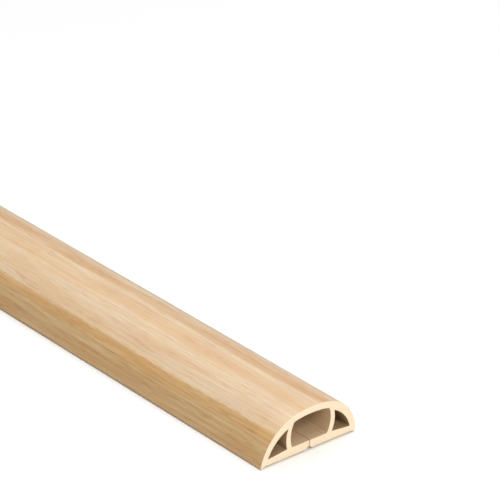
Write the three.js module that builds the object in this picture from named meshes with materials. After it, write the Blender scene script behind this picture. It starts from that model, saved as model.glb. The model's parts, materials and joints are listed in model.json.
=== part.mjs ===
// Floor cord cover: one length of soft PVC cable trunking that lies on a floor and is glued down.
// Its pieces are the D-shaped extrusion with three cable channels, two strips of double-sided foam
// tape under its base, and a red release liner on each strip.
// The cover runs along Y, X is its width and Z is up. The origin is on the floor, at its middle.
import * as THREE from "three";

// Driving dimensions, in millimetres. Heights are measured up from the toes.
const LENGTH = 1000; // one stock length, end face to end face
const WIDTH = 50; // across the two toes
const HEIGHT = 19.2; // the extrusion alone, from its toes to its crown
const CROWN_WALL = 3; // the arched wall over the middle channel, at the crown
const SHOULDER_WALL = 3.8; // the arched wall over the side channels, measured the same way
const SIDE_WALL = 2.9; // the arched wall beside the toes
const BASE_WALL = 3.7; // the base under the middle channel
const UNDERSIDE_RISE = 0.6; // between the toes the underside is raised, so that the toes reach the floor
const TOE_WIDTH = 0.7; // width of the low strip under each toe
const RISE_SLOPE = 1.6; // width of the slope from a toe's low strip to the raised underside
const TOE_ROUND = 0.5; // how far the rounding of a toe reaches along its two sides
const CHANNEL_WIDTH = 20.8; // widest place of the middle channel
const CHANNEL_WIDEST_HEIGHT = 9.8; // how high that place is
const CHANNEL_SIDE_RADIUS = 12.8; // bulge of the middle channel's two curved sides
const WEB_WALL = 2.35; // the two webs between the channels, where they are furthest from the middle
const WEB_OUTER_HEIGHT = 9.2; // how high their faces in the side channels are furthest from the middle
const WEB_OUTER_RADIUS = 13; // bulge of those faces
const SIDE_FLOOR_FALL = 1; // the side channels' floors fall this much from the web to the toe
const CORNER_ROUND = 0.4; // rounding inside the middle channel's corners
const TIP_ROUND = 0.35; // rounding inside the side channels' corners
const SLIT_WIDTH = 0.4; // the base is slit along its middle, so that it opens for the cables
const GROOVE_WIDTH = 3.2; // V-shaped groove that leads into the slit
const GROOVE_DEPTH = 1;
const TAPE_THICKNESS = 0.8;
const TAPE_FROM_GROOVE = 0.7; // each strip lies on the raised underside, this far from the groove
const TAPE_FROM_SLOPE = 0.4; // and this far from the slope down to the toe
const TAPE_END_INSET = 2.5; // the strips stop this far before each end face
const LINER_THICKNESS = 0.12;

// The arches are superellipses: these powers of the cosine and sine give them full shoulders.
const ARCH_SIDE_POWER = 0.82;
const ARCH_CROWN_POWER = 1.13;

// How finely the curves are stepped.
const ARCH_STEPS = 120;
const SIDE_STEPS = 14;
const ROUND_STEPS = 4;
const BISECTIONS = 40;

// Places that follow from the sizes above.
const halfWidth = WIDTH / 2;
const channelFloor = UNDERSIDE_RISE + BASE_WALL;
const ceilingArch = { half: halfWidth - SIDE_WALL, rise: HEIGHT - CROWN_WALL };
const shoulderArch = { half: halfWidth - SIDE_WALL, rise: HEIGHT - SHOULDER_WALL };
const outerArch = { half: halfWidth, rise: HEIGHT };
const webInside = bulge(CHANNEL_WIDTH / 2, CHANNEL_WIDEST_HEIGHT, CHANNEL_SIDE_RADIUS);
const webOutside = bulge(CHANNEL_WIDTH / 2 + WEB_WALL, WEB_OUTER_HEIGHT, WEB_OUTER_RADIUS);
const toeInnerEdge = halfWidth - TOE_WIDTH;
const tapeInnerEdge = GROOVE_WIDTH / 2 + TAPE_FROM_GROOVE;
const tapeOuterEdge = toeInnerEdge - RISE_SLOPE - TAPE_FROM_SLOPE;
const toeLift = TAPE_THICKNESS + LINER_THICKNESS - UNDERSIDE_RISE; // the toes' height above the floor

// The circle of a web's face, from the place where the face is furthest from the cover's middle.
function bulge(furthest, height, radius) {
  return { radius, centre: new THREE.Vector2(furthest - radius, height) };
}

// Point of an arch at a turn from 0 (right toe) over a quarter turn (crown) to a half turn (left toe).
function archPoint({ half, rise }, turn) {
  const across = Math.cos(turn);
  const up = Math.max(Math.sin(turn), 0);
  const x = half * Math.sign(across) * Math.abs(across) ** ARCH_SIDE_POWER;
  return new THREE.Vector2(x, rise * up ** ARCH_CROWN_POWER);
}

// The arch from one turn to another, as a line of points.
function archStretch(arch, from, to) {
  const steps = Math.max(2, Math.round((ARCH_STEPS * Math.abs(to - from)) / Math.PI));
  const turnAt = (i) => from + ((to - from) * i) / steps;
  return Array.from({ length: steps + 1 }, (_, i) => archPoint(arch, turnAt(i)));
}

// The turn at which an arch reaches a height.
function turnAtHeight(arch, height) {
  return Math.asin((height / arch.rise) ** (1 / ARCH_CROWN_POWER));
}

// The turn at which an arch crosses the circle of a web's face, found by halving.
function turnAtWebFace(arch, { radius, centre }) {
  let outside = turnAtHeight(arch, channelFloor);
  let inside = Math.PI / 2;
  for (let i = 0; i < BISECTIONS; i++) {
    const middle = (outside + inside) / 2;
    if (archPoint(arch, middle).distanceTo(centre) > radius) outside = middle;
    else inside = middle;
  }
  return inside;
}

// A web's face on the right-hand side, from the channel floor up to an arch.
function webFace(arch, circle) {
  const { radius, centre } = circle;
  const top = archPoint(arch, turnAtWebFace(arch, circle));
  const low = Math.asin((channelFloor - centre.y) / radius);
  const high = Math.asin((top.y - centre.y) / radius);
  return Array.from({ length: SIDE_STEPS + 1 }, (_, i) => {
    const angle = low + ((high - low) * i) / SIDE_STEPS;
    return new THREE.Vector2(Math.cos(angle), Math.sin(angle)).multiplyScalar(radius).add(centre);
  });
}

const mirrored = (points) => points.map((p) => new THREE.Vector2(-p.x, p.y)).reverse();
const lastOf = (points) => points[points.length - 1];

// A line of points with a length cut off its start.
function withoutStart(points, cut) {
  let left = cut;
  for (let i = 1; i < points.length; i++) {
    const step = points[i].distanceTo(points[i - 1]);
    if (step > left) {
      const start = points[i - 1].clone().lerp(points[i], left / step);
      return [start, ...points.slice(i)];
    }
    left -= step;
  }
  return [lastOf(points)];
}

const withoutEnd = (points, cut) => withoutStart([...points].reverse(), cut).reverse();

// A closed outline from sides that meet end to end. Each side is {line, round}: round is how far the
// rounding of the corner at its end reaches along the two sides that meet there, and 0 is a sharp corner.
function outline(sides) {
  const points = [];
  sides.forEach((side, i) => {
    const before = sides[(i + sides.length - 1) % sides.length];
    const after = sides[(i + 1) % sides.length];
    const line = withoutEnd(withoutStart(side.line, before.round), side.round);
    points.push(...line);
    if (side.round > 0) {
      const next = withoutStart(after.line, side.round)[0];
      const corner = new THREE.QuadraticBezierCurve(lastOf(line), lastOf(side.line), next);
      points.push(...corner.getPoints(ROUND_STEPS).slice(1, -1));
    }
  });
  return points.filter((p, i) => p.distanceTo(points[(i + 1) % points.length]) > 1e-4);
}

const straight = (...ends) => ends.map(([x, y]) => new THREE.Vector2(x, y));

// The underside's right half, from the slit to the toe: the groove, the raised land and the toe.
function undersideRight() {
  const slit = SLIT_WIDTH / 2;
  return straight(
    [slit, channelFloor],
    [slit, UNDERSIDE_RISE + GROOVE_DEPTH],
    [GROOVE_WIDTH / 2, UNDERSIDE_RISE],
    [toeInnerEdge - RISE_SLOPE, UNDERSIDE_RISE],
    [toeInnerEdge, 0],
    [halfWidth, 0],
  );
}

// The middle channel from the slit's left lip round to its right lip. It is open below, along the slit.
function middleChannel() {
  const face = webFace(ceilingArch, webInside);
  const turn = turnAtWebFace(ceilingArch, webInside);
  const lip = SLIT_WIDTH / 2;
  return [
    { line: straight([-lip, channelFloor], [-face[0].x, channelFloor]), round: CORNER_ROUND },
    { line: mirrored(face).reverse(), round: CORNER_ROUND },
    { line: archStretch(ceilingArch, Math.PI - turn, turn), round: CORNER_ROUND },
    { line: [...face].reverse(), round: CORNER_ROUND },
    { line: straight([face[0].x, channelFloor], [lip, channelFloor]), round: 0 },
  ];
}

// The right side channel: its sloping floor, the inside of the arch and the outer face of the web.
function sideChannel() {
  const face = webFace(shoulderArch, webOutside);
  const tip = turnAtHeight(shoulderArch, channelFloor - SIDE_FLOOR_FALL);
  const arch = archStretch(shoulderArch, tip, turnAtWebFace(shoulderArch, webOutside));
  return outline([
    { line: [face[0], arch[0]], round: TIP_ROUND },
    { line: arch, round: TIP_ROUND },
    { line: [...face].reverse(), round: TIP_ROUND },
  ]);
}

// The whole section: the outside, then in through the slit and round the middle channel, and two holes.
function coverSection() {
  const right = undersideRight();
  const section = new THREE.Shape(
    outline([
      { line: right, round: TOE_ROUND },
      { line: archStretch(outerArch, 0, Math.PI), round: TOE_ROUND },
      { line: mirrored(right), round: 0 },
      ...middleChannel(),
    ]),
  );
  section.holes = [new THREE.Path(sideChannel()), new THREE.Path(mirrored(sideChannel()))];
  return section;
}

// Materials, as they look in daylight.
const woodPrintPvc = new THREE.MeshStandardMaterial({ color: 0xe3c49c, roughness: 0.55, metalness: 0 });
const foamTape = new THREE.MeshStandardMaterial({ color: 0xf1dcc0, roughness: 0.8, metalness: 0 });
const redFilm = new THREE.MeshStandardMaterial({ color: 0xb80a0c, roughness: 0.25, metalness: 0 });

// The section's own frame: x across, y up from the toes, z along the cover.
const sectionFrame = new THREE.Group();
sectionFrame.rotation.x = Math.PI / 2;
sectionFrame.position.z = toeLift;

function addPiece(name, geometry, material, x, y, z) {
  const mesh = new THREE.Mesh(geometry, material);
  mesh.name = name;
  mesh.position.set(x, y, z);
  sectionFrame.add(mesh);
}

const extrusion = new THREE.ExtrudeGeometry(coverSection(), { depth: LENGTH, bevelEnabled: false });
addPiece("cover_extrusion", extrusion, woodPrintPvc, 0, 0, -LENGTH / 2);

const stripLength = LENGTH - 2 * TAPE_END_INSET;
const stripWidth = tapeOuterEdge - tapeInnerEdge;
const stripMiddle = (tapeInnerEdge + tapeOuterEdge) / 2;
const tapeLow = UNDERSIDE_RISE - TAPE_THICKNESS;
for (const [side, sign] of [["left", -1], ["right", 1]]) {
  const tape = new THREE.BoxGeometry(stripWidth, TAPE_THICKNESS, stripLength);
  const liner = new THREE.BoxGeometry(stripWidth, LINER_THICKNESS, stripLength);
  addPiece(`tape_${side}`, tape, foamTape, sign * stripMiddle, tapeLow + TAPE_THICKNESS / 2, 0);
  addPiece(`liner_${side}`, liner, redFilm, sign * stripMiddle, tapeLow - LINER_THICKNESS / 2, 0);
}

const cover = new THREE.Group();
cover.add(sectionFrame);

export default cover;
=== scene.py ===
# %% [markdown]
# # A length of floor cord cover
#
# A floor cord cover is a low hollow arch of soft PVC, sold in straight lengths and stuck to a floor. The
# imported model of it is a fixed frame: each piece made here stands for one of its solids, in metres, and
# takes its place from that solid. The frame is loaded first, so that nothing is ever placed by eye.

# %% Load the frame
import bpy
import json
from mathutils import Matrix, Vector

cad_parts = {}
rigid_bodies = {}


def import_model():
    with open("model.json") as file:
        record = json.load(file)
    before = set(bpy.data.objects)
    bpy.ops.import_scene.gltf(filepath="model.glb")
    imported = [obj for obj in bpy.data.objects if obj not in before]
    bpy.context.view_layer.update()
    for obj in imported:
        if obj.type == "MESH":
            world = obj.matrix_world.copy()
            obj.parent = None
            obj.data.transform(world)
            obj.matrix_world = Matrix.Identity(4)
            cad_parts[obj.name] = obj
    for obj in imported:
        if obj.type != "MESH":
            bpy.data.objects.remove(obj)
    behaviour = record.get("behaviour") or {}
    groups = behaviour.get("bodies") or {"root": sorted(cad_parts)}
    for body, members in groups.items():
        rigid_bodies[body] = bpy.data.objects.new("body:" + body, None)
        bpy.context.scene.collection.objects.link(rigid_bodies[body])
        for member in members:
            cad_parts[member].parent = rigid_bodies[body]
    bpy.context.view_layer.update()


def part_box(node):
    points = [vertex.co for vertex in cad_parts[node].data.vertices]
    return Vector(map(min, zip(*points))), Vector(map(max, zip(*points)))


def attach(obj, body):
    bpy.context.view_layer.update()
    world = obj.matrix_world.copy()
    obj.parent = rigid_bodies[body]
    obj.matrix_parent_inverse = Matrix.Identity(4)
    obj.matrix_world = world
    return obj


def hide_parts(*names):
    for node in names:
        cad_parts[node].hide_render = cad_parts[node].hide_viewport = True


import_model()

# %% Tools and units
import json
import math

import bpy
import numpy as np
from mathutils import Matrix
from mathutils.geometry import tessellate_polygon

MM = 0.001  # sizes of the section are written in millimetres, as on a drawing

# %% [markdown]
# ## Sizes
#
# The overall width, height and length and the places of the two strips can be read from the boxes of the
# frame's solids, so they are read. A box doesn't show walls, webs and channels, so only those sizes are
# written out, as they are on the drawing of the section.

# %% Sizes read from the frame
cover_low, cover_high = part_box("cover_extrusion")
_, tape_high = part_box("tape_right")
TOE_Z = cover_low.z
CROWN_Z = cover_high.z
UNDERSIDE_Z = tape_high.z
NEAR_Y = cover_low.y
FAR_Y = cover_high.y
print(f"crown {CROWN_Z / MM:.2f} mm, toes {TOE_Z / MM:.2f} mm and underside {UNDERSIDE_Z / MM:.2f} mm up")

# %% Sizes inside the section
HALF_WIDTH = 25.0 * MM
CROWN_WALL = 3.0 * MM
SHOULDER_WALL = 3.8 * MM
SIDE_WALL = 2.9 * MM
BASE_WALL = 3.7 * MM
TOE_WIDTH = 0.7 * MM
RISE_SLOPE = 1.6 * MM
CHANNEL_HALF = 10.4 * MM  # at the middle channel's widest place
WEB_WALL = 2.35 * MM
SIDE_FLOOR_FALL = 1.0 * MM
SLIT_HALF = 0.2 * MM
GROOVE_HALF = 1.6 * MM
GROOVE_DEPTH = 1.0 * MM
ARCH_SIDE_POWER = 0.82
ARCH_CROWN_POWER = 1.13
print(f"middle channel {2 * CHANNEL_HALF / MM:.1f} mm wide, over a base {BASE_WALL / MM:.1f} mm thick")

# %% [markdown]
# ## The section as curves
#
# An extrusion has the same section all the way along, so its whole shape is one drawing. An arc of a
# circle would be the simplest arch, but the real one has full shoulders and steep sides. A superellipse
# has both: it is an ellipse whose cosine and sine are raised to powers of their own. The webs between the
# channels bulge outwards like a pair of brackets, and each of their faces is a stretch of a circle.

# %% Arch
def arch(half, rise, turn):
    """Superellipse: x is half times cos(turn) to the side power, with the cosine's sign kept, and z is
    the toes' height plus rise times sin(turn) to the crown power. turn runs from 0 at the right toe to pi
    at the left one."""
    across = np.cos(turn)
    up = np.clip(np.sin(turn), 0, None)
    x = half * np.sign(across) * np.abs(across) ** ARCH_SIDE_POWER
    return np.stack([x, TOE_Z + rise * up**ARCH_CROWN_POWER], -1)


OUTSIDE = (HALF_WIDTH, CROWN_Z - TOE_Z)  # half width and rise
CEILING = (HALF_WIDTH - SIDE_WALL, CROWN_Z - TOE_Z - CROWN_WALL)
SHOULDER = (HALF_WIDTH - SIDE_WALL, CROWN_Z - TOE_Z - SHOULDER_WALL)
FLOOR_Z = UNDERSIDE_Z + BASE_WALL
print(f"channel floor {FLOOR_Z / MM:.2f} mm up, ceiling {(TOE_Z + CEILING[1]) / MM:.2f} mm up")

# %% Faces of the webs
WEB_INSIDE = (CHANNEL_HALF, TOE_Z + 9.8 * MM, 12.8 * MM)  # furthest x, its height and the radius
WEB_OUTSIDE = (CHANNEL_HALF + WEB_WALL, TOE_Z + 9.2 * MM, 13.0 * MM)
TURNS = np.linspace(0.2, math.pi / 2, 20001)  # from low on an arch's right side up to its crown


def web_meets_arch(arch_size, web):
    """Turn where an arch crosses a web's circle: on a fine row of turns, the first whose point is nearer
    to the circle's centre than its radius."""
    furthest, height, radius = web
    off_centre = arch(*arch_size, TURNS) - [furthest - radius, height]
    return TURNS[np.argmax(np.linalg.norm(off_centre, axis=1) < radius)]


def web_face(web, low_z, high_z, steps=40):
    """Right-hand face of a web: x = furthest - radius + sqrt(radius^2 - (z - height)^2)."""
    furthest, height, radius = web
    z = np.linspace(low_z, high_z, steps)
    return np.stack([furthest - radius + np.sqrt(radius**2 - (z - height) ** 2), z], -1)


print(f"the ceiling meets the webs {math.degrees(web_meets_arch(CEILING, WEB_INSIDE)):.1f} degrees round")

# %% [markdown]
# ## Joining curves into a closed outline
#
# Soft PVC can't hold a knife edge, so each corner is rounded. The two sides that meet in a corner are cut
# back by the same distance, and a quadratic Bezier bridges them. Each line is laid out again in even
# steps first, so that the long faces come out at a regular width, which keeps their shading smooth.

# %% Lines
def lengths(line):
    """Distance of each point from the line's start, added up piece by piece."""
    return np.concatenate([[0], np.cumsum(np.linalg.norm(np.diff(line, axis=0), axis=1))])


def place_on(line, distance):
    """The line's point at a distance from its start, or its points at a row of distances. Each
    coordinate is interpolated between the line's own points."""
    return np.stack([np.interp(distance, lengths(line), line[:, axis]) for axis in range(2)], -1)


def stretch_of(line, start, end, step):
    """The line from one distance to another, in even steps of about this size."""
    count = max(2, int(round((end - start) / step)) + 1)
    return place_on(line, np.linspace(start, end, count))


def bridge(before, corner, after, steps=6):
    """Quadratic Bezier: (1-t)^2 before + 2t(1-t) corner + t^2 after, without its two ends."""
    t = np.linspace(0, 1, steps + 1)[1:-1, None]
    return (1 - t) ** 2 * before + 2 * t * (1 - t) * corner + t**2 * after


def mirrored(line):
    """The same line on the other side of the middle, walked the other way: x changes its sign."""
    return line[::-1] * [-1, 1]


# %% Closed outline
def outline(sides):
    """Closed outline of sides (line, rounding at its end, step, finish): each line between its roundings,
    then the bridge to the next. Gives the points and the finish of each."""
    points, finishes = [], []
    for number, (line, rounding, step, finish) in enumerate(sides):
        before = sides[number - 1][1]
        following = sides[(number + 1) % len(sides)][0]
        kept = stretch_of(line, before, lengths(line)[-1] - rounding, step)
        points += [kept, bridge(kept[-1], line[-1], place_on(following, rounding))]
        finishes += [finish] * (len(points[-1]) + len(kept))
    return np.concatenate(points), np.array(finishes)


# %% [markdown]
# ## The three loops
#
# The section has one outer loop and two holes. The outer loop runs along the underside, over the arch,
# back to the slit in the base, up through it and round the middle channel, because the slit opens that
# channel to the outside. Each loop keeps the plastic on its left, so faces made from it all look
# outwards. Every point carries the finish of its face: printed film, bare skin or a channel's wall.

# %% Underside
FILM, SKIN, CHANNEL, SIDE_CHANNEL, SAWN = range(5)
FINE_STEP = 0.45 * MM  # between the points of a curve
FLAT_STEP = 1.6 * MM  # between the points of a flat face
LIP_ROUND = 0.2 * MM  # at both edges of the slit
GROOVE_ROUND = 0.3 * MM  # where the groove meets the land
LAND_ROUND = 0.5 * MM  # where the land meets the slope
SLOPE_ROUND = 0.15 * MM  # where the slope meets the toe
TOE_ROUND = 0.5 * MM
LAND = 2  # number of the land among the sides of the underside
SINK = 0.02 * MM  # wide flat faces of an extrusion sink a little as they cool


def underside():
    """Right half of the underside as sides with the rounding of each one's end: down the slit, out along
    the groove, along the land, down the slope and out to the toe. They are straight, but for the land,
    which is raised by 4 sink t (1 - t)."""
    toe = HALF_WIDTH - TOE_WIDTH
    corners = [
        (SLIT_HALF, FLOOR_Z),
        (SLIT_HALF, UNDERSIDE_Z + GROOVE_DEPTH),
        (GROOVE_HALF, UNDERSIDE_Z),
        (toe - RISE_SLOPE, UNDERSIDE_Z),
        (toe, TOE_Z),
        (HALF_WIDTH, TOE_Z),
    ]
    rounds = [LIP_ROUND, GROOVE_ROUND, LAND_ROUND, SLOPE_ROUND, TOE_ROUND]
    lines = [np.array(ends) for ends in zip(corners, corners[1:])]
    t = np.linspace(0, 1, 30)[:, None]
    start, end = lines[LAND]
    lines[LAND] = start + (end - start) * t + 4 * SINK * t * (1 - t) * [0, 1]
    return list(zip(lines, rounds))


print("sides of the underside:", len(underside()) * 2)

# %% Outer loop
CORNER_ROUND = 0.4 * MM


def outer_loop():
    """Underside, arch, underside, slit and middle channel, anticlockwise as seen from the near end."""
    sides = underside()
    rounds_back = [LIP_ROUND] + [around for _, around in sides[:-1]]
    right = [(line, around, FLAT_STEP, SKIN) for line, around in sides]
    left = [(mirrored(line), around, FLAT_STEP, SKIN) for (line, _), around in zip(sides, rounds_back)]
    over = arch(*OUTSIDE, np.linspace(0, math.pi, 1201))
    turn = web_meets_arch(CEILING, WEB_INSIDE)
    ceiling = arch(*CEILING, np.linspace(math.pi - turn, turn, 601))
    web = web_face(WEB_INSIDE, FLOOR_Z, ceiling[-1, 1])
    floor = np.array([(web[0, 0], FLOOR_Z), (SLIT_HALF, FLOOR_Z)])
    channel = [
        (mirrored(floor), CORNER_ROUND, FLAT_STEP, CHANNEL),
        (web * [-1, 1], CORNER_ROUND, FINE_STEP, CHANNEL),
        (ceiling, CORNER_ROUND, FINE_STEP, CHANNEL),
        (web[::-1], CORNER_ROUND, FINE_STEP, CHANNEL),
        (floor, LIP_ROUND, FLAT_STEP, CHANNEL),
    ]
    return outline([*right, (over, TOE_ROUND, FINE_STEP, FILM), *left[::-1], *channel])


outer_points, outer_finishes = outer_loop()
print("points round the outer loop:", len(outer_points))

# %% Side channels
TIP_ROUND = 0.35 * MM


def side_loop():
    """Right side channel: up the web's outer face, down under the arch and back along the sloping floor.
    That is clockwise, so the plastic is on its left here too. The arch starts where it is as high as the
    floor's low end, at the turn asin((low end / rise)^(1 / crown power))."""
    low_end = FLOOR_Z - SIDE_FLOOR_FALL - TOE_Z
    start = math.asin((low_end / SHOULDER[1]) ** (1 / ARCH_CROWN_POWER))
    under_arch = arch(*SHOULDER, np.linspace(start, web_meets_arch(SHOULDER, WEB_OUTSIDE), 401))
    web = web_face(WEB_OUTSIDE, FLOOR_Z, under_arch[-1, 1])
    floor = np.array([under_arch[0], web[0]])
    sides = [(web, FINE_STEP), (under_arch[::-1], FINE_STEP), (floor, FLAT_STEP)]
    return outline([(line, TIP_ROUND, step, SIDE_CHANNEL) for line, step in sides])


side_points, side_finishes = side_loop()
print("points round a side channel:", len(side_points))

# %% [markdown]
# ## From loops to a closed body
#
# Each loop is carried along the cover as rows of points. Near an end the rows crowd together and step
# into the plastic on a quarter circle, which rounds the sawn edge as a blade leaves it. The flat end is
# then filled between the loops. A Bevel modifier could round the edge as well, but it would also work on
# the finely stepped corners of the section, so the rows do it here.

# %% Rows along the cover
EDGE_ROWS = 4  # over each rounded end edge


def rows_between(near, far, edge_round, count):
    """Each row's y and inset: on the edge rows y = end + round (1 - cos a) and inset = round (1 - sin a),
    with a from 0 to a quarter turn, and between them evenly spaced rows with no inset."""
    angle = np.linspace(0, math.pi / 2, EDGE_ROWS)
    reach, inset = edge_round * (1 - np.cos(angle)), edge_round * (1 - np.sin(angle))
    middle = np.linspace(near + edge_round, far - edge_round, count)[1:-1]
    y = np.concatenate([near + reach, middle, far - reach[::-1]])
    return y, np.concatenate([inset, 0 * middle, inset[::-1]])


def into_solid(loop):
    """Unit normals to the left of the loop: the direction from one neighbour to the other, turned left."""
    ahead = np.roll(loop, -1, axis=0) - np.roll(loop, 1, axis=0)
    normal = np.stack([-ahead[:, 1], ahead[:, 0]], -1)
    return normal / np.linalg.norm(normal, axis=1, keepdims=True)


# %% Faces of a carried loop
def side_faces(first, rows, columns):
    """Quads of a grid whose columns close: corners (r, c), (r+1, c), (r+1, c+1), (r, c+1)."""
    r, c = np.meshgrid(np.arange(rows - 1), np.arange(columns), indexing="ij")
    after = (c + 1) % columns
    quads = [r * columns + c, (r + 1) * columns + c, (r + 1) * columns + after, r * columns + after]
    return first + np.stack(quads, -1).reshape(-1, 4)


def end_faces(rings, firsts):
    """Triangles that fill an end between its rings, worked out in millimetres so that no number is tiny.
    Each is turned anticlockwise in x and z by the sign of twice its area."""
    in_mm = [[(x / MM, z / MM, 0.0) for x, _, z in ring] for ring in rings]
    triangles = np.array(tessellate_polygon(in_mm))
    spots = np.concatenate(rings)[:, [0, 2]]
    a, b, c = (spots[triangles[:, corner]] for corner in range(3))
    twice = (b[:, 0] - a[:, 0]) * (c[:, 1] - a[:, 1]) - (b[:, 1] - a[:, 1]) * (c[:, 0] - a[:, 0])
    triangles[twice < 0] = triangles[twice < 0][:, ::-1]
    numbers = np.concatenate([first + np.arange(len(ring)) for first, ring in zip(firsts, rings)])
    return numbers[triangles]


def unrolled(loop, y):
    """UV of each quad's corners, in metres: u is the distance back round the loop to its leftmost point,
    and v is y. The columns run one past the last, so that the closing face isn't torn."""
    round_loop = lengths(np.vstack([loop, loop[:1]]))
    u = round_loop[np.argmin(loop[:, 0])] - round_loop
    r, c = np.meshgrid(np.arange(len(y) - 1), np.arange(len(loop)), indexing="ij")
    corners = [(r, c), (r + 1, c), (r + 1, c + 1), (r, c + 1)]
    return np.stack([np.stack([u[j], y[i]], -1) for i, j in corners], 2).reshape(-1, 2)


# %% Make a piece from carried loops
def make_mesh(name, points, faces, smooth, slots, unroll):
    """A mesh object at the origin, from arrays of points, faces and their finishes and UV corners."""
    mesh = bpy.data.meshes.new(name)
    mesh.from_pydata(points.tolist(), [], [face for block in faces for face in block.tolist()])
    mesh.polygons.foreach_set("use_smooth", smooth)
    mesh.polygons.foreach_set("material_index", slots.astype(np.int32))
    mesh.uv_layers.new(name="unroll").uv.foreach_set("vector", unroll.astype(np.float32).ravel())
    mesh.update()
    piece = bpy.data.objects.new(name, mesh)
    bpy.context.scene.collection.objects.link(piece)
    triangles = sum(len(face.vertices) - 2 for face in mesh.polygons)
    print(f"{name}: {len(mesh.vertices)} points, {triangles} triangles")
    return piece


def extruded(name, node, loops, y, sharp_angle):
    """A closed piece from loops (loop, carried rows, finishes, finish of the edge rows), filled at both
    ends in the first loop's last finish. It rides with the cover and stands for one solid of the
    frame."""
    grids = [grid for _, grid, _, _ in loops]
    firsts = np.cumsum([0] + [grid.shape[0] * grid.shape[1] for grid in grids])[:-1]
    sides = [side_faces(first, *grid.shape[:2]) for first, grid in zip(firsts, grids)]
    slots = []
    for _, _, finishes, edge_finish in loops:
        rows = np.tile(finishes, (len(y) - 1, 1))
        rows[0] = rows[-1] = edge_finish
        slots.append(rows.ravel())
    last_firsts = [first + (len(y) - 1) * grid.shape[1] for first, grid in zip(firsts, grids)]
    near = end_faces([grid[0] for grid in grids], firsts)
    far = end_faces([grid[-1] for grid in grids], last_firsts)[:, ::-1]
    points = np.concatenate([grid.reshape(-1, 3) for grid in grids])
    quads, caps = np.concatenate(sides), np.concatenate([near, far])
    cap_finish = loops[0][3]
    slots.append(np.full(len(caps), cap_finish))
    smooth = np.arange(len(quads) + len(caps)) < len(quads)
    unroll = np.concatenate([*(unrolled(loop, y) for loop, *_ in loops), points[caps.ravel()][:, [0, 2]]])
    piece = make_mesh(name, points, [quads, caps], smooth, np.concatenate(slots), unroll)
    piece.data.set_sharp_from_angle(angle=math.radians(sharp_angle))
    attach(piece, "root")
    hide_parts(node)
    return piece


# %% [markdown]
# ## The extruded body
#
# Soft PVC leaves the die a little wavy: its arch has a ripple that only a reflection gives away. After
# that a fixed knife slits the base, and because the cover wanders under it, the slit isn't quite
# straight. Both are slow sums of sines of the place along the cover, added to the rows.

# %% Body
RIPPLE = 0.05 * MM  # how far the arch sinks in the hollows of its ripple
RIPPLE_ALONG = (71, 29)  # its quick and its slow wave, in radians per metre along the cover
RIPPLE_AROUND = (95, 60)  # and in radians per metre round the arch
SLIT_WANDER = 0.14 * MM  # how far the knife strayed to each side
WANDER_ALONG = (37, 88)  # its two waves, in radians per metre
LIP_REACH = 2.2 * MM  # how far from the slit its lips move with it


def body_rows(loop, finishes, y, inset):
    """Rows of a loop along the cover, as an array (row, point, xyz). The arch sinks by the ripple times a
    product of sines of y and of the distance round it, and points near the slit move in x by a sum of
    sines of y, which a bell of their distance from the slit fades out."""
    around, along = lengths(loop)[None, :], y[:, None]
    quick = np.sin(along * RIPPLE_ALONG[0] + 2 * np.sin(around * RIPPLE_AROUND[0]))
    slow = np.sin(along * RIPPLE_ALONG[1] + around * RIPPLE_AROUND[1])
    sink = inset[:, None] + RIPPLE * (0.5 + 0.5 * quick * slow) * (finishes == FILM)
    moved = loop[None] + into_solid(loop)[None] * sink[..., None]
    near_slit = np.exp(-((loop[:, 0] / LIP_REACH) ** 2)) * (loop[:, 1] < FLOOR_Z + 0.1 * MM)
    stray = 0.6 * np.sin(along * WANDER_ALONG[0]) + 0.4 * np.sin(along * WANDER_ALONG[1] + 1)
    moved[..., 0] += SLIT_WANDER * stray * near_slit
    return np.stack([moved[..., 0], np.broadcast_to(along, moved.shape[:2]), moved[..., 1]], -1)


row_y, row_inset = rows_between(NEAR_Y, FAR_Y, edge_round=0.12 * MM, count=97)
body_loops = [
    (loop, body_rows(loop, finishes, row_y, row_inset), finishes, SAWN)
    for loop, finishes in (
        (outer_points, outer_finishes),
        (side_points, side_finishes),
        (mirrored(side_points), side_finishes[::-1]),
    )
]
body = extruded("cover_body", "cover_extrusion", body_loops, row_y, sharp_angle=38)

# %% [markdown]
# ## Tape and liner
#
# Two strips of double-sided foam tape hold the cover to the floor, each still under its red liner. Both
# come off a roll, so their edges are cut, not moulded: the foam's long edges run slightly uneven, and the
# liner's are truer. A box would do for their size, but its knife-sharp edges would give it away, so each
# is a rounded rectangle carried along the cover like the body.

# %% Strips
TAPE_EDGES = (0.12 * MM, 0.25 * MM)  # rounding and wobble
LINER_EDGES = (0.05 * MM, 0.1 * MM)
WOBBLE_ALONG = (61, 163)  # waves of the wobble, in radians per metre
END_ROUND = 0.6  # a strip's ends are rounded by this share of its long edges' rounding


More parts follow.
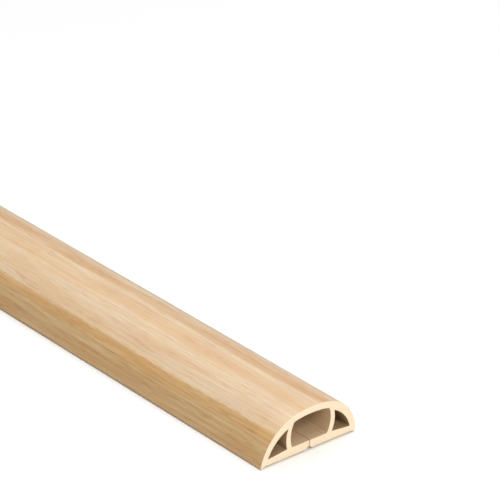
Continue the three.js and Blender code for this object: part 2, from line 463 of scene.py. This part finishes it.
def strip_piece(name, node, slot, rounding, wobble, seed):
    """Rounded rectangle of four quarter circles, carried along y. Its long edges run in by the wobble
    times 0.5 and a sum of two sines of y, so by the whole wobble at most."""
    low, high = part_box(node)
    half_x, half_z = (high.x - low.x) / 2, (high.z - low.z) / 2
    angle = (np.arange(4)[:, None] + np.linspace(0, 1, 5)[None]) * math.pi / 2
    side_x = np.array([1, -1, -1, 1])[:, None] * (half_x - rounding)
    side_z = np.array([1, 1, -1, -1])[:, None] * (half_z - rounding)
    ring = np.stack([side_x + rounding * np.cos(angle), side_z + rounding * np.sin(angle)], -1).reshape(-1, 2)
    y, inset = rows_between(low.y, high.y, edge_round=rounding * END_ROUND, count=161)
    wave = 0.5 + 0.3 * np.sin(y * WOBBLE_ALONG[0] + seed) + 0.2 * np.sin(y * WOBBLE_ALONG[1] + 2 * seed)
    moved = ring[None] + into_solid(ring)[None] * inset[:, None, None]
    moved[..., 0] *= (1 - wobble / half_x * wave)[:, None]
    x, z = (low.x + high.x) / 2 + moved[..., 0], (low.z + high.z) / 2 + moved[..., 1]
    grid = np.stack([x, np.broadcast_to(y[:, None], x.shape), z], -1)
    loop = (ring, grid, np.zeros(len(ring), int), 0)
    return extruded(name, node, [loop], y, sharp_angle=50)


tapes = [
    strip_piece(f"foam_tape_{side}", f"tape_{side}", "foam_tape", *TAPE_EDGES, seed)
    for seed, side in enumerate(("left", "right"))
]
liners = [
    strip_piece(f"release_liner_{side}", f"liner_{side}", "red_liner", *LINER_EDGES, seed)
    for seed, side in enumerate(("left", "right"), start=5)
]

# %% [markdown]
# ## Shader maths as expressions
#
# A node tree is quick to draw by hand but hard to read back. Here a small class stands for one socket,
# and the usual operators on it add Math nodes, so a pattern reads like its formula. Every other node
# comes from one method, which sets what the node is first and fills its sockets afterwards.

# %% The socket class
class Flow:
    """A node's output in a material. Operators with numbers or other flows add Math nodes."""

    def __init__(self, tree, socket):
        self.tree = tree
        self.socket = socket

    def node(self, kind, settings=(), sockets=(), output=0):
        """Adds a node of this kind, sets its settings, fills its sockets and gives one of its outputs."""
        made = self.tree.nodes.new("ShaderNode" + kind)
        for name, value in dict(settings).items():
            if name == "stops":
                fill_ramp(made.color_ramp, value)
            else:
                setattr(made, name, value)
        for name, value in dict(sockets).items():
            if isinstance(value, Flow):
                self.tree.links.new(value.socket, made.inputs[name])
            else:
                made.inputs[name].default_value = value
        return Flow(self.tree, made.outputs[output])

    def math(self, operation, *values):
        """A Math node of these values."""
        return self.node("Math", {"operation": operation}, dict(enumerate(values)))

    def __add__(self, other):
        return self.math("ADD", self, other)

    def __sub__(self, other):
        return self.math("SUBTRACT", self, other)

    def __rsub__(self, other):
        return self.math("SUBTRACT", other, self)

    def __mul__(self, other):
        return self.math("MULTIPLY", self, other)

    __radd__ = __add__
    __rmul__ = __mul__

    def between(self, low, high):
        """0 below low, 1 above high and a smooth step from one to the other."""
        return self.node("MapRange", {"interpolation_type": "SMOOTHSTEP"}, {0: self, 1: low, 2: high})


def fill_ramp(ramp, stops):
    """Gives a colour ramp these (place, colour) stops."""
    for _ in stops[2:]:
        ramp.elements.new(1.0)
    for element, (place, colour) in zip(ramp.elements, stops):
        element.position, element.color = place, colour


# %% Helpers for materials
def tone(red, green, blue):
    """Screen colour of 0 to 255 as scene light: c / 12.92 near black, and ((c + 0.055) / 1.055)^2.4."""
    c = np.array([red, green, blue]) / 255
    light = np.where(c <= 0.04045, c / 12.92, ((c + 0.055) / 1.055) ** 2.4)
    return (*light.tolist(), 1.0)


def new_material(name):
    """A new material, its shader and a flow to build the rest on."""
    material = bpy.data.materials.new(name)
    material.use_nodes = True
    shader = material.node_tree.nodes["Principled BSDF"]
    return material, shader, Flow(material.node_tree, shader.outputs[0])


def mix(factor, first, second, blend="MIX"):
    """Mixes two colours, the first of them where the factor is 0. MULTIPLY tints the first by the second."""
    settings = {"data_type": "RGBA", "blend_type": blend, "clamp_factor": True}
    return factor.node("Mix", settings, {0: factor, 6: first, 7: second}, output=2)


def feed(shader, colour, roughness, height, depth):
    """Feeds a shader what varies over the surface: colour, roughness and a bump this deep."""
    colour.tree.links.new(colour.socket, shader.inputs["Base Color"])
    colour.tree.links.new(roughness.socket, shader.inputs["Roughness"])
    bump = colour.node("Bump", {}, {"Strength": 1.0, "Distance": depth, "Height": height})
    colour.tree.links.new(bump.socket, shader.inputs["Normal"])


def grain(place, width, length, seed, detail=3.0):
    """Noise with blobs about this wide round the section and this long along it. A seed moves it."""
    stretch, shift = (1 / width, 1 / length, 1.0), (seed * 7.3, seed * 3.1, 0.0)
    scaled = place.node("VectorMath", {"operation": "MULTIPLY_ADD"}, {0: place, 1: stretch, 2: shift})
    sockets = {"Vector": scaled, "Scale": 1.0, "Detail": detail}
    return place.node("TexNoise", {"noise_dimensions": "2D"}, sockets)


# %% [markdown]
# ## The printed wood film
#
# The film is a print of oak on a thin foil that was laid on the hot plastic, so its grain runs along the
# cover and takes no notice of the arch. The unrolled map gives the distance round the arch from the left
# toe and the place along the cover. A ramp over the first lays down the boards and their broad stripes.
# Object coordinates would squeeze the print on the steep sides, which the unrolled map doesn't do.

# %% Tones of the print
TAN = tone(203, 170, 121)
KHAKI = tone(206, 177, 132)
HONEY = tone(210, 173, 121)
CREAM = tone(230, 207, 172)
SAND = tone(223, 197, 163)
PALE = tone(225, 199, 165)
APRICOT = tone(224, 195, 157)
AMBER = tone(216, 184, 147)
DUSK = tone(224, 203, 175)
ASH = tone(207, 189, 163)
LIGHTER = (1.1, 1.15, 1.26, 1.0)  # tint of a pale mark: it lifts the colour beneath

# %% Stripes of the print
ARCH_LENGTH = float(lengths(arch(*OUTSIDE, np.linspace(0, math.pi, 2001)))[-1])
# the tan, khaki and honey stops up to 14 mm from the left toe are partly the print's darker board and partly
# painted shade on the lower left side
STRIPES = [  # distance round the arch in mm and tone, from the left toe to the right one
    (4, TAN),
    (8.5, KHAKI),
    (11.5, HONEY),
    (13.8, HONEY),
    (14.7, CREAM),
    (16.5, SAND),
    (26.3, PALE),
    (26.8, CREAM),
    (27.4, SAND),
    (31, APRICOT),
    (34.5, SAND),
    (35.6, PALE),
    (36.2, CREAM),
    (37, PALE),
    (39, AMBER),
    (41, AMBER),
    (46, DUSK),
    (49, ASH),
    (54, SAND),
    (56.4, CREAM),
    (57, HONEY),
    (63, KHAKI),
]
print(f"the arch is {ARCH_LENGTH / MM:.1f} mm round and has {len(STRIPES)} stops")

# %% [markdown]
# ## Drift and dashes
#
# Real growth rings wander, so every pattern of the print is read at a place that a slow noise pushes
# sideways, and a quicker one makes it wavy. The stripes' edges are frayed by a noise of their own. Over
# them lie broad warm and rosy patches, then amber ones and thin streaks, and then the fine marks: pale
# and dark dashes up to a centimetre long, which gather in some places and leave others clean. The pale
# board in the middle stays calmer than its neighbours. Tints multiply the colour beneath, so that a mark
# stays in tune with its stripe.

# %% Wandering grain
SLOW_DRIFT = 3.5 * MM  # a noise seldom swings by more than a third of this to each side
QUICK_DRIFT = 0.8 * MM


def drifted(place):
    """The place with u moved by two noises: up to about 1 mm over a hand's width, and about a fifth of
    that over a finger's."""
    slow = grain(place, 30 * MM, 160 * MM, seed=1) - 0.5
    wavy = grain(place, 3 * MM, 18 * MM, seed=2) - 0.5
    across = place.node("CombineXYZ", {}, {"X": slow * SLOW_DRIFT + wavy * QUICK_DRIFT})
    return place.node("VectorMath", {"operation": "ADD"}, {0: place, 1: across})


def dashes(place, width, length, seed):
    """Marks where a fine noise is high, inside the patches where a broad one is."""
    marks = grain(place, width, length, seed, detail=2.0).between(0.5, 0.68)
    return marks * grain(place, 3 * MM, 28 * MM, seed + 0.5).between(0.38, 0.6)


# %% Film material
FRAY = 1.6 * MM  # how far the stripes' edges fray, of which the stops allow for half
LOWER_BORDER = (13 * MM, 16 * MM)  # where the khaki board gives way to the calm pale one
UPPER_BORDER = (37 * MM, 39 * MM)  # where the pale board ends


def film_colour(place, pale, dark):
    """Ramp over the distance round the arch, frayed by a fine noise, then patches, streaks and dashes.
    calm is 0 on the khaki board, 1 on the pale one and 0.2 past it, and marks are weaker where it is
    high."""
    fray = grain(place, 0.3 * MM, 4 * MM, seed=3) * FRAY
    frayed = place.node("SeparateXYZ", {}, {0: place}) + fray
    stops = [((mm * MM + FRAY / 2) / ARCH_LENGTH, colour) for mm, colour in STRIPES]
    colour = place.node("ValToRGB", {"stops": stops}, {0: frayed * (1 / ARCH_LENGTH)})
    calm = frayed.between(*LOWER_BORDER) - frayed.between(*UPPER_BORDER) * 0.8
    warm = grain(place, 7 * MM, 60 * MM, seed=4).between(0.38, 0.62)
    amber = grain(place, 1.6 * MM, 22 * MM, seed=10).between(0.4, 0.6) * (1 - calm)
    rosy = grain(place, 5 * MM, 32 * MM, seed=5).between(0.45, 0.7)
    streaks = grain(place, 0.8 * MM, 50 * MM, seed=6, detail=4.0).between(0.38, 0.62)
    bleached = grain(place, 1.1 * MM, 65 * MM, seed=9, detail=4.0).between(0.48, 0.66)
    colour = mix(warm * 0.8, colour, tone(252, 242, 230), "MULTIPLY")
    colour = mix(rosy * 0.6, colour, tone(250, 243, 248), "MULTIPLY")
    colour = mix(amber * 0.4, colour, tone(246, 232, 210), "MULTIPLY")
    colour = mix(streaks * (0.7 - calm * 0.35), colour, tone(240, 230, 216), "MULTIPLY")
    colour = mix(bleached * (0.7 - calm * 0.4), colour, LIGHTER, "MULTIPLY")
    colour = mix(dark * (0.6 - calm * 0.2), colour, tone(226, 208, 186), "MULTIPLY")
    return mix(pale * 0.5, colour, LIGHTER, "MULTIPLY")


def wood_film():
    """Satin film: the dark dashes are a little rougher, and the embossed grain is a bump of about a
    hundredth of a millimetre."""
    material, shader, flow = new_material("wood_print_film")
    place = drifted(flow.node("UVMap", {"uv_map": "unroll"}))
    pale = dashes(place, 0.5 * MM, 10 * MM, seed=7)
    dark = dashes(place, 0.45 * MM, 8 * MM, seed=8)
    height = pale * 0.5 - dark
    feed(shader, film_colour(place, pale, dark), 0.46 + dark * 0.1, height, depth=0.01 * MM)
    return material


# %% [markdown]
# ## Bare PVC
#
# Where there is no film the plastic itself shows. The skin that touched the die is satin, with faint
# lines drawn along the cover. Inside the channels it is the same skin, painted darker as shade, and
# darkest in the narrow ones at the sides. The sawn end is matt and paler, and the blade has left fine
# marks across it. Materials that share helpers are easier to tune than one that has to tell all those
# faces apart.

# %% Bare PVC materials
def die_skin(name, skin, shade):
    """Satin plastic with draw lines along y: noise that is fine round the section and long along it."""
    material, shader, flow = new_material(name)
    place = flow.node("UVMap", {"uv_map": "unroll"})
    lines = grain(place, 0.7 * MM, 170 * MM, seed=11)
    cloud = grain(place, 14 * MM, 80 * MM, seed=12)
    colour = mix(lines.between(0.3, 0.75) * 0.5 + cloud * 0.4, shade, skin)
    feed(shader, colour, roughness=0.42 + lines * 0.14, height=lines, depth=0.01 * MM)
    return material


def sawn_face():
    """Matt cream: a slanting wave for the blade marks, a cloudy noise for the tone and a fine grit."""
    material, shader, flow = new_material("sawn_pvc")
    place = flow.node("TexCoord", output=3)
    grit = flow.node("TexNoise", {}, {"Vector": place, "Scale": 2600.0, "Detail": 3.0})
    cloud = flow.node("TexNoise", {}, {"Vector": place, "Scale": 260.0})
    turned = flow.node("Mapping", {}, {"Vector": place, "Rotation": (0.0, math.radians(62), 0.0)})
    marks = flow.node("TexWave", {}, {"Vector": turned, "Scale": 620.0, "Distortion": 2.5, "Detail": 2.0})
    colour = mix(marks * 0.25 + cloud * 0.55, tone(248, 228, 196), tone(242, 217, 182))
    feed(shader, colour, 0.6 + grit * 0.15, height=marks + grit, depth=0.012 * MM)
    return material


finishes_in_order = [  # as numbered: FILM, SKIN, CHANNEL, SIDE_CHANNEL and SAWN
    wood_film(),
    die_skin("die_skin_pvc", tone(230, 206, 168), tone(220, 193, 154)),
    # the channel walls are the same skin with darker tones as painted shade, darkest in the narrow side
    # channels
    die_skin("channel_wall_painted_shade", tone(205, 178, 142), tone(191, 162, 126)),
    die_skin("side_channel_wall_painted_deep_shade", tone(166, 136, 101), tone(150, 120, 87)),
    sawn_face(),
]
for material in finishes_in_order:
    body.data.materials.append(material)
print("finishes of the body:", [material.name for material in finishes_in_order])

# %% [markdown]
# ## Foam and liner
#
# The tape is a pale foam with closed cells, so its cut edge is pitted and quite matt. The liner is a
# glossy red film. It is laid by a roller that leaves it slightly dented, and that shows only in what it
# reflects, so the dents are a slow bump and a clear coat carries the sharp gloss.

# %% Foam and liner materials
def foam():
    """Pale foam: a fine noise for its cells and a slow one for its tone."""
    material, shader, flow = new_material("foam_tape_edge")
    place = flow.node("TexCoord", output=3)
    cells = flow.node("TexNoise", {}, {"Vector": place, "Scale": 4200.0, "Detail": 2.0})
    cloud = flow.node("TexNoise", {}, {"Vector": place, "Scale": 120.0})
    colour = mix(cells * 0.5 + cloud * 0.4, tone(246, 226, 200), tone(228, 204, 172))
    feed(shader, colour, 0.75 + cells * 0.15, height=cells, depth=0.05 * MM)
    return material


def liner_film():
    """Glossy red film: slow dents in its surface, faint scuffs along it and a little change of depth."""
    material, shader, flow = new_material("red_liner_film")
    place = flow.node("UVMap", {"uv_map": "unroll"})
    dents = grain(place, 6 * MM, 25 * MM, seed=21)
    scuffs = grain(place, 0.4 * MM, 30 * MM, seed=22).between(0.6, 0.8)
    colour = mix(dents * 0.5 + scuffs * 0.3, tone(190, 4, 6), tone(216, 16, 16))
    feed(shader, colour, 0.22 + scuffs * 0.25, height=dents, depth=0.15 * MM)
    shader.inputs["Coat Weight"].default_value = 0.6
    shader.inputs["Coat Roughness"].default_value = 0.08
    return material


foam_material, liner_material = foam(), liner_film()
for piece in tapes:
    piece.data.materials.append(foam_material)
for piece in liners:
    piece.data.materials.append(liner_material)
print("strips finished:", len(tapes) + len(liners))

# %% [markdown]
# ## Floor, light and camera
#
# The cover lies on a plain pale floor in soft light, as in a catalogue. A bright even room fills the
# shadows, one wide light stands over the cover and a second, weaker one faces the sawn end, so the
# channels stay dark and the end stays bright. Small lamps would draw hard shadows, and large areas
# don't. The camera's place, direction and lens were worked out from the section's corners in the photo.

# %% Floor
FLOOR_HALF = 6.0
FLOOR_QUADS = 24  # along each side


def pale_floor():
    """A square of quads at z = 0, with x and y evenly spaced. Its UV is its x and y."""
    across = np.linspace(-FLOOR_HALF, FLOOR_HALF, FLOOR_QUADS + 1)
    x, y = np.meshgrid(across, across)
    points = np.stack([x, y, 0 * x], -1).reshape(-1, 3)
    r, c = np.meshgrid(np.arange(FLOOR_QUADS), np.arange(FLOOR_QUADS), indexing="ij")
    corner = (r * len(across) + c).ravel()
    beyond = corner + len(across)
    quads = np.stack([corner, corner + 1, beyond + 1, beyond], -1)
    flat = np.zeros(len(quads), bool)
    return make_mesh("floor", points, [quads], flat, flat, points[quads.ravel()][:, :2])


floor = pale_floor()
floor_material, floor_shader, flow = new_material("pale_floor")
floor_place = flow.node("TexCoord", output=3)
mottle = flow.node("TexNoise", {}, {"Vector": floor_place, "Scale": 40.0, "Detail": 4.0})
feed(
    floor_shader,
    colour=mix(mottle, tone(249, 249, 249), tone(247, 247, 247)),
    roughness=0.8 + mottle * 0.1,
    height=mottle,
    depth=0.01 * MM,
)
floor.data.materials.append(floor_material)

# %% Lights
UP_HINT = (0.0, 1.0, 0.1)  # a light's upper edge points roughly this way


def soft_light(name, place, size, power):
    """A square area light at a place, turned so that it faces the middle of the near end: back points
    from there to the light, right = hint x back and up = back x right."""
    data = bpy.data.lights.new(name, "AREA")
    data.shape, data.size, data.energy = "SQUARE", size, power
    back = np.array(place) - np.array([0.0, NEAR_Y, 0.0])
    back /= np.linalg.norm(back)
    right = np.cross(UP_HINT, back)
    right /= np.linalg.norm(right)
    axes = Matrix(np.stack([right, np.cross(back, right), back], 1).tolist())
    lamp = bpy.data.objects.new(name, data)
    lamp.matrix_world = Matrix.Translation(place) @ axes.to_4x4()
    bpy.context.scene.collection.objects.link(lamp)
    print(f"{name}: {power} W over {size} m")


soft_light("overhead", (0.5, NEAR_Y + 0.2, 2.2), size=2.4, power=38)
soft_light("front", (-0.5, NEAR_Y - 1.4, 1.4), size=1.0, power=22)

# %% Room
ROOM_LIGHT = 0.3
world = bpy.data.worlds.new("soft_room")
world.use_nodes = True
world.node_tree.nodes["Background"].inputs["Color"].default_value = (1.0, 1.0, 1.0, 1.0)
world.node_tree.nodes["Background"].inputs["Strength"].default_value = ROOM_LIGHT
bpy.context.scene.world = world
bpy.context.scene.view_settings.view_transform = "Standard"
print("room light:", ROOM_LIGHT)

# %% Camera
CAMERA_FROM_END = (-0.61565, -0.56943, 0.48910)  # from the middle of the near end, level with its toes
CAMERA_AZIMUTH = math.radians(-45.28)  # 0 looks along +Y
CAMERA_ELEVATION = math.radians(25.94)
CAMERA_ROLL = math.radians(4.98)
CAMERA_LENS = 184.7  # mm
CAMERA_SENSOR = 36.0  # mm wide


def camera_axes(azimuth, elevation, roll):
    """Axes of a camera that looks down by the elevation e: back = (sin a cos e, -cos a cos e, sin e),
    right = (cos a, sin a, 0) and up = back x right, with right and up then turned about back by the roll."""
    a, e = azimuth, elevation
    back = np.array([math.sin(a) * math.cos(e), -math.cos(a) * math.cos(e), math.sin(e)])
    right = np.array([math.cos(a), math.sin(a), 0.0])
    up = np.cross(back, right)
    turned = right * math.cos(roll) + up * math.sin(roll)
    return Matrix(np.stack([turned, np.cross(back, turned), back], 1).tolist())


camera = bpy.data.objects.new("camera", bpy.data.cameras.new("camera"))
camera.data.sensor_width = CAMERA_SENSOR
camera.data.lens = CAMERA_LENS
camera_place = [way + start for way, start in zip(CAMERA_FROM_END, (0.0, NEAR_Y, TOE_Z))]
axes = camera_axes(CAMERA_AZIMUTH, CAMERA_ELEVATION, CAMERA_ROLL)
camera.matrix_world = Matrix.Translation(camera_place) @ axes.to_4x4()
bpy.context.scene.collection.objects.link(camera)
bpy.context.scene.camera = camera
print("camera at", [round(v, 3) for v in camera_place])
